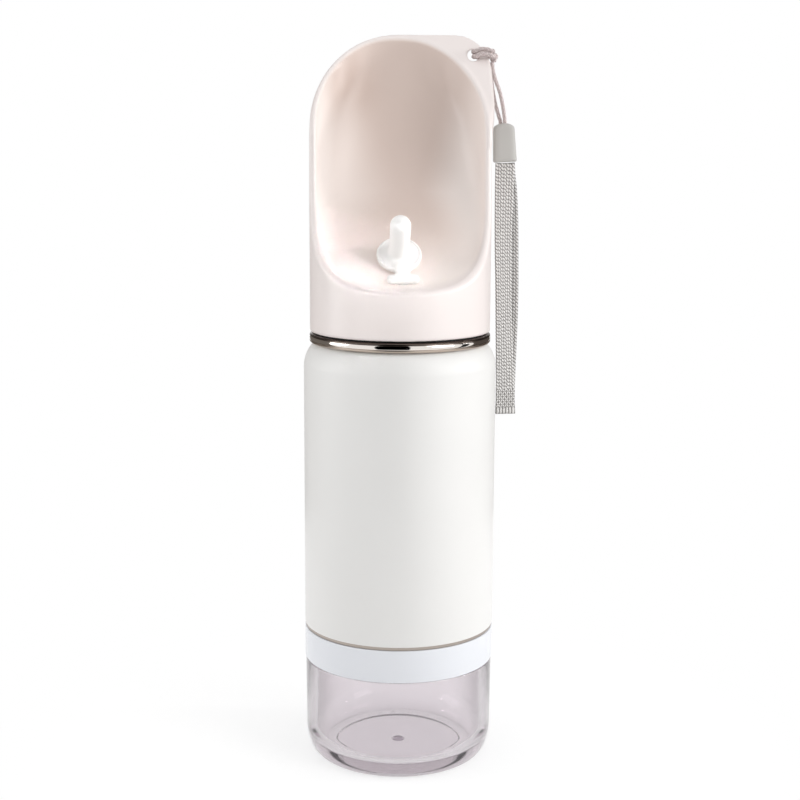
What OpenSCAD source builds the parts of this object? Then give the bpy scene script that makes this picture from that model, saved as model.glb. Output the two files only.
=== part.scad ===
// Dog travel water bottle: an insulated steel bottle with a drinking scoop screwed on its neck,
// a clear food cup screwed under its base, and a wrist lanyard on the scoop's lug.
// Millimetres. +Z is up, the scoop opens towards -Y, and the origin is the centre of the foot.

/* [Steel bottle] */
// Outside diameter of the steel body
body_d = 72; // [66:0.5:80]
// Height of the straight steel wall, from the seam to the shoulder
shell_h = 99.5; // [70:0.5:140]
// Height of the curved shoulder
shoulder_h = 7.3; // [5:0.1:9]
// Thickness of each steel wall
steel_t = 0.6; // [0.5:0.1:0.8]
// Space between the outer shell and the liner
vacuum_gap = 2.8; // [2:0.1:4]
// Outside diameter of the bare neck
neck_d = 58.6; // [54:0.2:60]
// Height of the neck above the polished ring
neck_h = 10.1; // [10:0.1:10.6]

/* [Polished neck ring] */
// Outside diameter of the ring
ring_d = 67.7; // [64:0.1:69]
// Height of the ring
ring_h = 4.1; // [3:0.1:6]
// Open groove between the shoulder and the ring
ring_groove = 1; // [0.6:0.1:2]
// Radius of the ring's rounded outer edges
ring_edge_r = 1.6; // [0.5:0.1:1.9]

/* [Base] */
// Visible height of the white collar
collar_h = 12.25; // [12:0.05:16]
// Height of the bare steel band over the collar
reveal_h = 1.3; // [0.8:0.1:2]
// Wall of the collar's skirt
collar_wall = 1.6; // [1.4:0.1:2]
// Thickness of the collar's closed ceiling
ceiling_t = 2.2; // [1.6:0.1:2.6]
// Depth of the recess in the steel base
recess_h = 7.3; // [6:0.1:9]
// Thickness of both ring gaskets
gasket_t = 1.6; // [1.2:0.1:2]

/* [Food cup] */
// Visible height of the clear cup
cup_h = 38.4; // [30:0.2:60]
// How far the cup's wall stands inside the collar's face
cup_inset = 0.2; // [0.1:0.1:0.6]
// Wall of the cup, down to its floor
cup_wall = 3.9; // [3.4:0.1:4.4]
// Wall of the cup's neck
cup_neck_wall = 1.5; // [1.2:0.1:1.8]
// Thickness of the cup's floor
cup_floor = 3; // [2:0.1:5]
// Radius of the flat foot
foot_r = 29; // [26:0.5:31]
// Height of the rounded bottom corner
corner_h = 12; // [8:0.5:16]
// Radius of the recess under the foot
foot_recess_r = 23.9; // [18:0.1:25]
// Depth of the recess under the foot
foot_recess_h = 1.2; // [0.6:0.1:2]
// Diameter of the gate mark in the middle of the floor
gate_d = 5.2; // [3:0.1:7]

/* [Scoop head] */
// Outside diameter of the scoop head
head_d = 67.3; // [64:0.1:68]
// Height of the head at its back
head_h = 111.1; // [96:0.5:130]
// Height of the front lip above the head's bottom edge
lip_rise = 18; // [17.5:0.1:24]
// Slope of the raked upper rim, in degrees
rake_angle = 46; // [42:0.5:50]
// Wall of the scoop
head_wall = 2.35; // [2:0.05:2.8]
// Wall of the threaded skirt
skirt_wall = 2.65; // [2.3:0.05:3]
// Squareness of the bowl's cross-section: 2 is an ellipse
bowl_power = 2.4; // [2:0.1:3]

/* [Lanyard lug] */
// Distance of the lug's right edge from the middle
lug_x = 35.3; // [34.8:0.1:37]
// Radius of the lug's corner
lug_corner_r = 13; // [10:0.5:15]
// Thickness of the lug's plate
lug_t = 3; // [2.4:0.1:4]
// Step from the rim down to the lug's face
lug_step = 0.6; // [0.3:0.1:1]
// Extra depth of the web at the lug's lower end
lug_web = 5; // [2:0.5:8]
// Diameter of the lanyard hole
hole_d = 4.5; // [4.5:0.1:5]

/* [Outlet plug] */
// Tilt of the plug's seat beyond the slope of the floor, in degrees
seat_tilt = 7.5; // [5:0.5:9]
// Distance of the seat's centre in front of the middle
seat_front = 10.2; // [9.5:0.1:11]
// Distance of the seat's centre to the right of the middle
seat_x = -1; // [-1.5:0.1:1.5]
// Diameter of the outlet port
port_d = 9.4; // [8:0.1:10]
// Diameter of the plug's disc
disc_d = 16.5; // [15:0.1:17]
// Thickness of the disc
disc_t = 2.4; // [1.8:0.1:3]
// Diameter of the pull stem
stem_d = 7.5; // [6:0.1:9]
// Length of the plug from the seat to the stem's tip
stem_l = 20.2; // [16:0.1:22]
// Length of the spigot in the port
spigot_l = 4; // [3:0.1:4.2]
// Width of the tether between disc and anchor
tether_w = 4.9; // [4:0.1:6]
// Width of the anchor block
anchor_w = 11.6; // [10:0.1:13]
// Length of the anchor block
anchor_l = 4.6; // [4.4:0.1:5]
// Height of the anchor block
anchor_h = 2.4; // [2.2:0.1:2.8]
// Thickness of the tether
tether_t = 1.5; // [1.2:0.1:1.6]

/* [Lanyard] */
// Diameter of the round cord
cord_d = 1.5; // [1.2:0.1:1.6]
// Width of the cord clamp
clamp_w = 9.3; // [8:0.1:10]
// Height of the cord clamp
clamp_h = 14.8; // [14:0.1:15]
// Thickness of the cord clamp
clamp_t = 5.2; // [4:0.1:7]
// Width of the wrist strap's webbing
strap_w = 8.2; // [6:0.1:10]
// Thickness of the webbing
strap_t = 1.1; // [0.8:0.1:1.4]

/* [Hidden] */
$fn = 64;

// Clearances: face to face, round a soft ring, and round a plug that turns out of its port.
face_gap = 0.1;
soft_gap = 0.3;
port_gap = 0.08;
eps = 0.01;
curve_steps = 12;

// Heights, from the foot up.
collar_z = cup_h + face_gap / 2;
reveal_z = collar_z + collar_h;
seam_z = reveal_z + reveal_h;
shoulder_z = seam_z + shell_h;
shoulder_top_z = shoulder_z + shoulder_h;
ring_z = shoulder_top_z + ring_groove;
ring_top_z = ring_z + ring_h;
head_z = ring_top_z + face_gap;
neck_top_z = ring_top_z + neck_h;
neck_gasket_z = neck_top_z + face_gap;
ledge_z = neck_gasket_z + gasket_t + soft_gap / 2;
lip_z = head_z + lip_rise;
top_z = head_z + head_h;

// Steel bottle.
body_r = body_d / 2;
shell_in_r = body_r - steel_t;
liner_r = shell_in_r - vacuum_gap;
neck_r = neck_d / 2;
sleeve_r = neck_r + steel_t;
shoulder_in = body_r - sleeve_r - steel_t;
cap_r = shell_in_r;
cap_web_z = seam_z + recess_h - steel_t;
dimple_r = 7;
dimple_h = 1.5;
liner_z = seam_z + recess_h + dimple_h + 0.2;
liner_bottom_h = 4;
liner_shoulder_h = 6;
liner_shoulder_z = shoulder_z - 3.5;
sleeve_top_z = ring_top_z + 2;
getter_r = 6;
getter_h = 1.2;
getter_inset = 14.6;
getter_x = liner_r - getter_inset;
seal_r = 2.5;

// Collar, cup and their gasket.
skirt_in_r = body_r - collar_wall;
ceiling_top_z = reveal_z - face_gap;
ceiling_z = ceiling_top_z - ceiling_t;
collar_plug_r = cap_r - steel_t - face_gap;
collar_plug_wall = 2;
collar_plug_h = recess_h - reveal_h - steel_t + 0.6;
cup_r = body_r - cup_inset;
cup_low_r = cup_r - 0.2;
cup_neck_r = skirt_in_r - 1;
cup_in_r = cup_neck_r - cup_neck_wall;
cup_gasket_top_z = ceiling_z - soft_gap / 2;
cup_gasket_z = cup_gasket_top_z - gasket_t;
cup_neck_top_z = cup_gasket_z - face_gap;
cup_floor_z = foot_recess_h + cup_floor;
gate_h = 0.5;

// Scoop head.
head_r = head_d / 2;
bowl_r = head_r - head_wall;
bore_r = head_r - skirt_wall;
ledge_r = neck_r - 3.3;
ledge_t = 4.8;
skirt_edge = 0.7;
riser_top_z = top_z - head_r * tan(rake_angle) - 7;
cavity_drop = 24;
cavity_top_z = top_z - cavity_drop;
bowl_rows = 26;
bowl_cols = 22;

// ---- Curves -------------------------------------------------------------------------------

// The point p turned about the origin by angle a.
function turned(p, a) = [p[0] * cos(a) - p[1] * sin(a), p[0] * sin(a) + p[1] * cos(a)];

// A point of a cubic curve with the four control points p.
function curve(p, t) = pow(1 - t, 3) * p[0] + 3 * pow(1 - t, 2) * t * p[1]
    + 3 * (1 - t) * t * t * p[2] + t * t * t * p[3];
function curve_points(p, n) = [for (i = [0 : n]) curve(p, i / n)];

// Quarter of an ellipse about c, from angle a0 to a1.
function arc_points(c, rx, ry, a0, a1, n = curve_steps) =
    [for (i = [0 : n]) let (a = a0 + (a1 - a0) * i / n) [c[0] + rx * cos(a), c[1] + ry * sin(a)]];

// Height of the raked upper rim's plane at depth y.
function rake(y) = top_z - (head_r - y) * tan(rake_angle);

// Side view of the rim: a low lip that sweeps up into a steep riser and then into the rake.
lip_curve = [[-head_r, lip_z], [-head_r + 8.8, lip_z], [-1, lip_z + 13.5], [0.2, riser_top_z]];
riser_bend = [[0.2, riser_top_z], [0.4, riser_top_z + 4], [2, rake(2) - 0.4], [6, rake(6)]];
rim_side = concat(curve_points(lip_curve, 18), [for (i = [1 : 5]) curve(riser_bend, i / 5)],
                  [for (i = [1 : 7]) let (y = 6 + (head_r - 6) * i / 7) [y, rake(y)]]);

// Depth of the rim at height z.
rim_by_z = [for (p = rim_side) [p[1], p[0]]];
function rim_y(z) = lookup(z, rim_by_z);

// Side view of the bowl's floor and back wall, in the middle plane.
bowl_side = curve_points([[-bowl_r, rim_at(-bowl_r)], [-4.8, rim_at(-bowl_r)],
                          [bowl_r - 0.5, riser_top_z - 6], [bowl_r, rake(bowl_r)]], 40);
function rim_at(y) = lookup(y, rim_side);
function floor_at(y) = lookup(y, bowl_side);
function floor_slope(y) = atan((floor_at(y + 1) - floor_at(y - 1)) / 2);

// The same side view moved by wall to the underside of the floor and the back of the back wall.
function bowl_back(wall) = [for (i = [0 : len(bowl_side) - 1])
    let (p = bowl_side, t = p[min(i + 1, len(p) - 1)] - p[max(i - 1, 0)], n = [t[1], -t[0]] / norm(t))
    [p[i][1] + wall * n[1], p[i][0] + wall * n[0]]];

// ---- Places that follow from the curves ---------------------------------------------------

// Plug, in the frame of its seat: x across, y up the slope, z out of the bowl's floor.
port_r = port_d / 2;
spigot_r = port_r - port_gap;
spigot_tip_r = spigot_r - 1;
disc_r = disc_d / 2;
stem_r = stem_d / 2;
stem_flare = 1.6;
disc_edge = 0.8;
disc_dish = 0.3;
seat_lift = 0.05;
seat_rise = 1.9;
seat_pad_r = disc_r - 0.7;
socket_r = port_r + 2;
socket_l = 8;
seat_angle = floor_slope(-seat_front) + seat_tilt;
seat_p = [-seat_front, floor_at(-seat_front) + seat_rise];
hinge_gap = 2;
hinge_u = -(disc_r + hinge_gap);
hinge_n = 1.8;
hinge_p = seat_p + turned([hinge_u, hinge_n], seat_angle);

// Anchor, in the frame of its own pad on the floor.
anchor_y = -22.8;
anchor_tilt = 1.1;
anchor_angle = floor_slope(anchor_y) + anchor_tilt;
anchor_rise = 0.35;
anchor_p = [anchor_y, floor_at(anchor_y) + anchor_rise];
hinge_a = turned(hinge_p - anchor_p, -anchor_angle);
neck_end = hinge_a[0] - tether_t / 2 - 0.5;
peg_r = 2;
peg_gap = 0.05;
barb_r = 3;
barb_l = 2;
barb_z = -(head_wall + anchor_rise + face_gap);

// Points of the lanyard, chosen by hand; only the webbing's and cord's thickness change.
hole_x = 28.7;
hole_z = 266;
knot_p = [36.5, 26, 265.3];
knot_r = 1.75;
hitch_up = 0.5;
hitch_gap = 0.8;
hitch_arch = 0.5;
clamp_top = [40.7, 26, 240.7];
clamp_lean = 3;
clamp_taper = 0.55;
clamp_crown = 2.4;
clamp_corner = 0.6;
strand_a = [[36, 25.3, 263.4], [36.3, 25.2, 260.4], [37.4, 25, 256.5], [38.9, 24.9, 252.6],
            [39.9, 25, 248.8], [40.6, 25.1, 245.2], [41, 25.2, 242.4], [41.1, 25.3, 241]];
strand_b = [[35.9, 26.8, 263.4], [36, 27.1, 259.6], [36.2, 27.3, 255.6], [36.8, 27.2, 251.6],
            [37.6, 27, 247.8], [38.6, 26.8, 244.4], [39.3, 26.7, 242.2], [39.6, 26.6, 241]];
strap_front = [[41.5, 25.3, 225.5], [41.4, 24.9, 221.5], [41.3, 24.3, 214], [41.3, 23.8, 204],
               [41.5, 23.6, 192], [41.9, 23.6, 180], [42.2, 23.9, 168], [42.5, 24.3, 156],
               [42.8, 24.8, 146], [43, 25.2, 138], [43.1, 25.4, 132], [43.2, 25.4, 127.4]];
strap_back = [[41.7, 26.7, 225.5], [42, 27.2, 221.5], [42.9, 27.8, 214], [43.5, 28.2, 204],
              [43.8, 28.4, 192], [44, 28.4, 180], [44, 28.1, 168], [43.7, 27.7, 156],
              [43.4, 27.2, 146], [43.2, 26.8, 138], [43.2, 26.6, 132], [43.2, 26.6, 127.4]];

// ---- Bowl ---------------------------------------------------------------------------------

// Faces of a solid skinned over n closed rings of m points each, listed ring by ring.
function tube_faces(n, m) = concat(
    [for (i = [0 : n - 2]) for (j = [0 : m - 1]) let (k = (j + 1) % m, a = i * m, b = a + m)
     each [[a + k, a + j, b + k], [b + k, a + j, b + j]]],
    [[for (j = [0 : m - 1]) j], [for (j = [m - 1 : -1 : 0]) (n - 1) * m + j]]);

// What the bowl leaves open: at each height a round-cornered arch from rim to rim, open to the
// front. With a wall, it is that much larger, and its surface is the underside of the bowl.
module bowl_block(wall) {
    r = bowl_r + wall;
    back = bowl_back(wall);
    z0 = rim_at(-bowl_r + 0.05) - wall;
    z1 = rake(bowl_r - 0.05) - wall;
    front = [head_r + 2, -head_r - 6];
    rings = [for (i = [0 : bowl_rows])
             let (z = z0 + (z1 - z0) * pow(i / bowl_rows, 1.6),
                  y = min(r - 0.05, max(-r + 0.05, rim_y(z + wall))),
                  half = sqrt(r * r - y * y), deep = max(0.02, lookup(z, back) - y), e = 2 / bowl_power)
             concat([[front[0], front[1], z]],
                    [for (j = [0 : bowl_cols])
                     let (a = 180 * j / bowl_cols,
                          p = [half * sign(90 - a) * pow(abs(cos(a)), e), y + deep * pow(sin(a), e)],
                          q = p * min(1, r / norm(p)))
                     [q[0], q[1], z]],
                    [[-front[0], front[1], z]])];
    polyhedron([for (r = rings) each r], tube_faces(bowl_rows + 1, bowl_cols + 3), convexity = 6);
}

// Everything above the rim's side view, as wide as the head and its lug.
module rim_cut() {
    rotate([90, 0, 90])
        translate([0, 0, -head_r - 5])
            linear_extrude(2 * head_r + 10)
                polygon(concat([[-head_r - 5, lip_z]], rim_side,
                               [[head_r + 5, rake(head_r + 5)], [head_r + 5, top_z + 20],
                                [-head_r - 5, top_z + 20]]));
}

// The lug's plate follows the rake a step below the rim, with a web that deepens downwards.
module lug() {
    corner = [lug_x - lug_corner_r, head_r - lug_corner_r];
    intersection() {
        translate([0, 0, lip_z])
            linear_extrude(top_z)
                polygon(concat([[0, 0], [head_r - 0.2, 0], [lug_x - 0.3, head_r * 0.3]],
                               arc_points(corner, lug_corner_r, lug_corner_r, 0, 90), [[0, head_r]]));
        rotate([90, 0, 90])
            linear_extrude(lug_x + 1)
                polygon([[0, rake(0) - lug_step], [head_r + 1, rake(head_r + 1) - lug_step],
                         [head_r + 1, rake(head_r + 1) - lug_step - lug_t / cos(rake_angle)],
                         [0, rake(0) - lug_step - lug_t / cos(rake_angle) - lug_web]]);
    }
}

module at_seat() {
    translate([seat_x, seat_p[0], seat_p[1]])
        rotate([seat_angle, 0, 0])
            children();
}

module at_anchor() {
    translate([0, anchor_p[0], anchor_p[1]])
        rotate([anchor_angle, 0, 0])
            children();
}

// ---- Sub-parts ----------------------------------------------------------------------------

module food_cup() {
    color([0.72, 0.68, 0.72, 0.5])
        difference() {
            rotate_extrude($fn = 96)
                polygon(concat(
                    [[0, foot_recess_h], [foot_recess_r, foot_recess_h], [foot_recess_r + 0.8, 0],
                     [foot_r, 0]],
                    arc_points([foot_r, corner_h], cup_low_r - foot_r, corner_h, -90, 0),
                    [[cup_r, cup_h - face_gap / 2], [cup_neck_r, cup_h - face_gap / 2],
                     [cup_neck_r, cup_neck_top_z], [cup_in_r, cup_neck_top_z]],
                    arc_points([cup_in_r - 8, cup_floor_z + 9], 8, 9, 0, -90),
                    [[0, cup_floor_z]]));
            translate([0, 0, foot_recess_h - eps])
                cylinder(d1 = gate_d, d2 = gate_d - 1.5, h = gate_h);
        }
}

module ring(r_out, r_in, z, h) {
    translate([0, 0, z])
        difference() {
            cylinder(r = r_out, h = h);
            translate([0, 0, -1])
                cylinder(r = r_in, h = h + 2);
        }
}

module cup_gasket() {
    color("whitesmoke")
        ring(skirt_in_r - soft_gap, cup_in_r, cup_gasket_z, gasket_t);
}

module base_collar() {
    plug_in_r = collar_plug_r - collar_plug_wall;
    color("white")
        rotate_extrude($fn = 96)
            polygon([[0, ceiling_z], [skirt_in_r, ceiling_z], [skirt_in_r, collar_z],
                     [body_r - 0.3, collar_z], [body_r, collar_z + 0.3], [body_r, reveal_z - 0.3],
                     [body_r - 0.3, reveal_z], [collar_plug_r, reveal_z],
                     [collar_plug_r, reveal_z + collar_plug_h], [plug_in_r, reveal_z + collar_plug_h],
                     [plug_in_r, ceiling_top_z], [0, ceiling_top_z]]);
}

// The bare edge under the painted shell, a plug wall inside it and a web with a raised dimple.
module base_cap() {
    wall_in_r = cap_r - steel_t;
    color("dimgray")
        rotate_extrude($fn = 96)
            polygon([[0, cap_web_z + dimple_h], [dimple_r, cap_web_z + dimple_h], [dimple_r + 1, cap_web_z],
                     [wall_in_r, cap_web_z], [wall_in_r, reveal_z + face_gap],
                     [body_r - 0.4, reveal_z + face_gap], [body_r - 0.2, reveal_z + 0.5],
                     [body_r - 0.2, seam_z], [cap_r, seam_z], [cap_r, cap_web_z + steel_t],
                     [dimple_r + 1 + steel_t / 2, cap_web_z + steel_t],
                     [dimple_r + steel_t / 2, cap_web_z + dimple_h + steel_t],
                     [0, cap_web_z + dimple_h + steel_t]]);
}

module vacuum_seal() {
    color("goldenrod")
        translate([0, 0, cap_web_z + 0.4])
            cylinder(r1 = seal_r - 0.5, r2 = seal_r, h = dimple_h - 0.4);
}

module getter_pack() {
    color("silver")
        translate([getter_x, 0, cap_web_z + steel_t])
            cylinder(r = getter_r, h = getter_h);
}

module outer_shell() {
    bend = [body_r - shoulder_in, shoulder_z];
    color("whitesmoke")
        rotate_extrude($fn = 96)
            polygon(concat(
                [[shell_in_r, seam_z], [body_r, seam_z]],
                arc_points(bend, shoulder_in, shoulder_h, 0, 90),
                [[sleeve_r, shoulder_top_z], [sleeve_r, sleeve_top_z], [neck_r, sleeve_top_z],
                 [neck_r, shoulder_top_z - steel_t]],
                arc_points(bend, shoulder_in - steel_t, shoulder_h - steel_t, 90, 0)));
}

module inner_liner() {
    bend_w = liner_r - neck_r;
    color("lightgray")
        rotate_extrude($fn = 96)
            polygon(concat(
                [[liner_r - steel_t, liner_z], [liner_r, liner_z]],
                arc_points([neck_r, liner_shoulder_z], bend_w, liner_shoulder_h, 0, 90),
                [[neck_r, neck_top_z], [neck_r - steel_t, neck_top_z]],
                arc_points([neck_r - steel_t, liner_shoulder_z], bend_w, liner_shoulder_h - steel_t, 90, 0)));
}

module liner_bottom() {
    r = liner_r - steel_t;
    color("lightgray")
        rotate_extrude($fn = 96)
            polygon([[0, liner_z], [r, liner_z], [r, liner_z + liner_bottom_h],
                     [r - steel_t, liner_z + liner_bottom_h], [r - steel_t, liner_z + 1.5],
                     [r - 1.5, liner_z + steel_t], [0, liner_z + steel_t]]);
}

module neck_ring() {
    r = ring_d / 2 - ring_edge_r;
    color("silver")
        rotate_extrude($fn = 96)
            polygon(concat([[sleeve_r, ring_z]],
                           arc_points([r, ring_z + ring_edge_r], ring_edge_r, ring_edge_r, -90, 0, 6),
                           arc_points([r, ring_top_z - ring_edge_r], ring_edge_r, ring_edge_r, 0, 90, 6),
                           [[sleeve_r, ring_top_z]]));
}

module neck_gasket() {
    color("whitesmoke")
        ring(bore_r - soft_gap, ledge_r + 0.8, neck_gasket_z, gasket_t);
}

// Solid outline of the head before the bowl and the inside are taken out.
module head_blank() {
    rotate_extrude($fn = 96)
        polygon([[0, head_z], [head_r - skirt_edge, head_z], [head_r, head_z + skirt_edge],
                 [head_r, top_z], [0, top_z]]);
    lug();
}

// Threaded skirt, gasket ledge, and the hollow that lies under and behind the bowl.
module head_inside() {
    translate([0, 0, head_z - 1])
        cylinder(r = bore_r, h = ledge_z - head_z + 1);
    difference() {
        translate([0, 0, ledge_z - eps]) {
            cylinder(r = ledge_r, h = ledge_t);
            translate([0, 0, ledge_t - eps])
                cylinder(r1 = ledge_r, r2 = bowl_r, h = bowl_r - ledge_r);
            translate([0, 0, ledge_t + bowl_r - ledge_r - 2 * eps])
                cylinder(r = bowl_r, h = cavity_top_z - ledge_z - ledge_t - bowl_r + ledge_r);
        }
        bowl_block(head_wall);
    }
}

module scoop_head() {
    color([0.93, 0.88, 0.87])
        difference() {
            union() {
                difference() {
                    head_blank();
                    rim_cut();
                    bowl_block(0);
                    head_inside();
                }
                at_seat() {
                    translate([0, 0, -3])
                        cylinder(r = seat_pad_r, h = 3);
                    translate([0, 0, -socket_l])
                        cylinder(r = socket_r, h = socket_l - 2);
                }
                at_anchor()
                    translate([-anchor_w / 2 - 0.6, -anchor_l / 2 - 0.5, -1.4])
                        cube([anchor_w + 1.2, anchor_l + 1, 1.4]);
            }
            at_seat()
                translate([0, 0, -socket_l - 1])
                    cylinder(r = port_r, h = socket_l + 2);
            at_anchor()
                translate([0, 0, -head_wall - 3])
                    cylinder(r = peg_r + peg_gap, h = head_wall + 4);
            translate([hole_x, head_r + 5, hole_z])
                rotate([90, 0, 0])
                    cylinder(d = hole_d, h = head_r - 10);
        }
}

// Block on the bowl's floor with a barbed peg through it and a short neck towards the plug.
module plug_anchor() {
    color("white")
        at_anchor() {
            translate([-anchor_w / 2, -anchor_l / 2, seat_lift])
                cube([anchor_w, anchor_l, anchor_h - seat_lift]);
            translate([-tether_w / 2, anchor_l / 2 - 0.5, hinge_a[1] - tether_t / 2])
                cube([tether_w, neck_end - anchor_l / 2 + 0.5, tether_t]);
            translate([0, 0, barb_z - eps])
                cylinder(r = peg_r, h = eps - barb_z + 0.5);
            translate([0, 0, barb_z - barb_l])
                cylinder(r1 = barb_r - 1.4, r2 = barb_r, h = barb_l);
        }
}

module plug_tether() {
    color("white")
        at_seat()
            difference() {
                union() {
                    translate([-tether_w / 2 - seat_x, hinge_u, hinge_n - tether_t / 2])
                        cube([tether_w, -hinge_u - disc_r + 1.2, tether_t]);
                    translate([-tether_w / 2 - seat_x, hinge_u, hinge_n])
                        rotate([0, 90, 0])
                            cylinder(d = tether_t, h = tether_w);
                }
                translate([0, 0, -1])
                    cylinder(r = disc_r, h = disc_t + 3);
            }
}

module outlet_plug() {
    tip = stem_l - stem_r;
    color("white")
        at_seat()
            rotate_extrude()
                polygon(concat(
                    [[0, -spigot_l], [spigot_tip_r, -spigot_l], [spigot_r, seat_lift],
                     [disc_r - 0.4, seat_lift], [disc_r, seat_lift + 0.4]],
                    arc_points([disc_r - disc_edge, disc_t - disc_edge], disc_edge, disc_edge, 0, 90, 5),
                    arc_points([stem_r + stem_flare, disc_t - disc_dish + stem_flare],
                               stem_flare, stem_flare, -90, -180, 6),
                    arc_points([0, tip], stem_r, stem_r, 0, 90)));
}

// ---- Lanyard ------------------------------------------------------------------------------

function unit(v) = v / norm(v);

// Direction of the route p at point i.
function heading(p, i) = unit(p[min(i + 1, len(p) - 1)] - p[max(i - 1, 0)]);

// A sweep along the route p. The section's points are (across, outward), and across stays as
// near to the direction side as the route allows.
module sweep(p, section, side) {
    n = len(p);
    m = len(section);
    points = [for (i = [0 : n - 1])
              let (t = heading(p, i), out = unit(cross(t, side)), across = cross(out, t))
              for (s = section) p[i] + s[0] * across + s[1] * out];
    polyhedron(points, tube_faces(n, m), convexity = 4);
}

cord_section = [for (i = [0 : 7]) cord_d / 2 * [cos(45 * i), sin(45 * i)]];
webbing_section = [[-strap_w / 2, -strap_t / 2], [strap_w / 2, -strap_t / 2],
                   [strap_w / 2, strap_t / 2], [-strap_w / 2, strap_t / 2]];

// One turn of the hitch, dz above its middle: front of the lug, hole, back of the lug.
function hitch(dz) = let (s = 0.95 * dz, z = hole_z + hitch_up + dz, up = z + hitch_arch)
    [[36.4, 25, z], [35.5, 23.7 + s, z], [33.4, 23.5 + s, up], [30.8, 23.6 + s, up],
     [29.3, 24.2 + s, z], [28.8, 25.8, z], [28.7, 28.4, z], [28.8, 31 + s, z],
     [29.8, 32.2 + s, z], [32, 32.2 + s, z], [34.2, 30.9 + s / 2, z], [35.9, 29, z],
     [36.5, 27.2, z]];

module lanyard_knot() {
    color("rosybrown") {
        for (dz = [-hitch_gap, hitch_gap])
            sweep(hitch(dz), cord_section, [0, 0, 1]);
        translate(knot_p)
            sphere(r = knot_r, $fn = 32);
    }
}

module lanyard_cord() {
    color("rosybrown") {
        sweep(strand_a, cord_section, [1, 0, 0]);
        sweep(strand_b, cord_section, [1, 0, 0]);
    }
}

// Moulded clamp with a domed crown, widening downwards and leaning with the strap.
module cord_clamp() {
    low = clamp_w / 2 - clamp_corner;
    color("gray")
        translate(clamp_top)
            rotate([90, -clamp_lean, 0])
                translate([0, -clamp_h, -clamp_t / 2])
                    linear_extrude(clamp_t)
                        polygon(concat(
                            arc_points([low, clamp_corner], clamp_corner, clamp_corner, -90, 0, 4),
                            arc_points([0, clamp_h - clamp_crown], clamp_w / 2 - clamp_taper,
                                       clamp_crown, 0, 180, 20),
                            arc_points([-low, clamp_corner], clamp_corner, clamp_corner, 180, 270, 4)));
}

module wrist_strap() {
    color("silver") {
        sweep(strap_front, webbing_section, [1, 0, 0]);
        sweep(strap_back, webbing_section, [1, 0, 0]);
    }
}

food_cup();
cup_gasket();
base_collar();
base_cap();
vacuum_seal();
getter_pack();
outer_shell();
inner_liner();
liner_bottom();
neck_ring();
neck_gasket();
scoop_head();
plug_anchor();
plug_tether();
outlet_plug();
lanyard_knot();
lanyard_cord();
cord_clamp();
wrist_strap();
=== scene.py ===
import math

import bmesh
import bpy
import numpy as np
from mathutils import Matrix, Vector


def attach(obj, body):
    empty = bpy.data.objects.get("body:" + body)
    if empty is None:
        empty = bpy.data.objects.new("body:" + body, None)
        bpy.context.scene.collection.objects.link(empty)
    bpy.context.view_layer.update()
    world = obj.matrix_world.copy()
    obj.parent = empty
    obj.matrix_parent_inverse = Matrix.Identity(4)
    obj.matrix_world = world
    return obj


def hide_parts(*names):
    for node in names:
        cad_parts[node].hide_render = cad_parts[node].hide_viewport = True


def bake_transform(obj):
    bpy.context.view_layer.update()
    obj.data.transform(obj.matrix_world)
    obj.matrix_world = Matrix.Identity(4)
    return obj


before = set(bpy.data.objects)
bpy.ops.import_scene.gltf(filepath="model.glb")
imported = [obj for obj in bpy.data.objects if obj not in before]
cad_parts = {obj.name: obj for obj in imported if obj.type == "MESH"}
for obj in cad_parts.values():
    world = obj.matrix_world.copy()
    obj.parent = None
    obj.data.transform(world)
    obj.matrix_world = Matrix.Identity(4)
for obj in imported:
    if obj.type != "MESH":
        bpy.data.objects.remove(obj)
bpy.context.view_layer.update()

MM = 0.001

# ---- Sizes of the frame, in millimetres ----

# Steel body, white collar, neck and its ring.
BODY_R, SEAM_Z, SHOULDER_Z, SHOULDER_TOP = 36.0, 52.0, 151.5, 159.7
SHELL_T, SHELL_EDGE, SHOULDER_IN, SHOULDER_POWER = 0.6, 0.25, 4.6, 1.6
REVEAL_Z, COLLAR_Z, CEILING_Z, CEILING_TOP = 50.7, 38.45, 48.4, 50.6
SKIRT_IN_R, COLLAR_PLUG_R, COLLAR_PLUG_H, COLLAR_PLUG_T = 34.4, 33.2, 7.3, 2.0
RING_Z, RING_TOP, RING_R = 159.8, 163.9, 33.85
SLEEVE_R, SLEEVE_TOP, NECK_R = 29.9, 165.9, 29.3
# Clear cup.
CUP_R, CUP_LOW_R, CUP_FOOT_R, CUP_CORNER, CUP_H = 35.8, 35.6, 29.9, 11.5, 38.4
CUP_NECK_R, CUP_NECK_WALL, CUP_NECK_TOP = 33.4, 1.5, 46.55
CUP_FLOOR, CUP_BEND_R, CUP_BEND_H = 4.2, 8.0, 9.0
RECESS_R, RECESS_H, GATE_R, GATE_H = 23.9, 1.1, 2.5, 0.9
# Threads: turns, the angle of the start in radians, and half widths at crest and root.
THREAD_LEAD, THREAD_TURNS, THREAD_START = 5.0, 1.05, 0.4
THREAD_CREST, THREAD_ROOT, THREAD_SUNK = 0.35, 0.95, 0.15
NECK_THREAD_Z, SKIRT_THREAD_Z, NECK_CREST = 167.4, 166.6, 1.1
CUP_THREAD_Z, COLLAR_THREAD_Z, CUP_CREST = 40.0, 41.0, 0.6
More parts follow.
